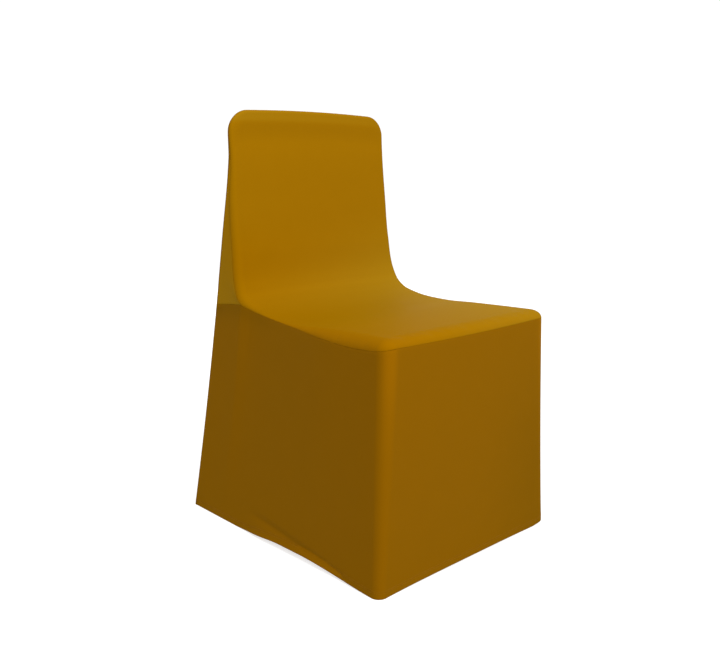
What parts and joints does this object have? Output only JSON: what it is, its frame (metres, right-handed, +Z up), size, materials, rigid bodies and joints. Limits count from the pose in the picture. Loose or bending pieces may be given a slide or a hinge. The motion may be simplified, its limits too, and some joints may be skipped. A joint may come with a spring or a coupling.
{
  "type": "chair cover",
  "caption": "Fitted stretch-knit cover for a stacking chair: smooth cloth over the back and seat, with a skirt that falls to the floor all round.",
  "frame": {"origin": "on the floor, at the middle of the cover's outline", "axes": "+Z up, -Y towards the front of the seat, -X on the left of a person who looks at the front"},
  "size_m": [0.5026, 0.5717, 0.8358],
  "materials": {
    "stretch_knit": "smooth matte polyester and elastane knit, mustard gold"
  },
  "bodies": {
    "root": {"seat_back_panel": "stretch_knit", "rear_panel": "stretch_knit", "web_left": "stretch_knit", "web_right": "stretch_knit", "skirt": "stretch_knit"}
  },
  "joints": []
}
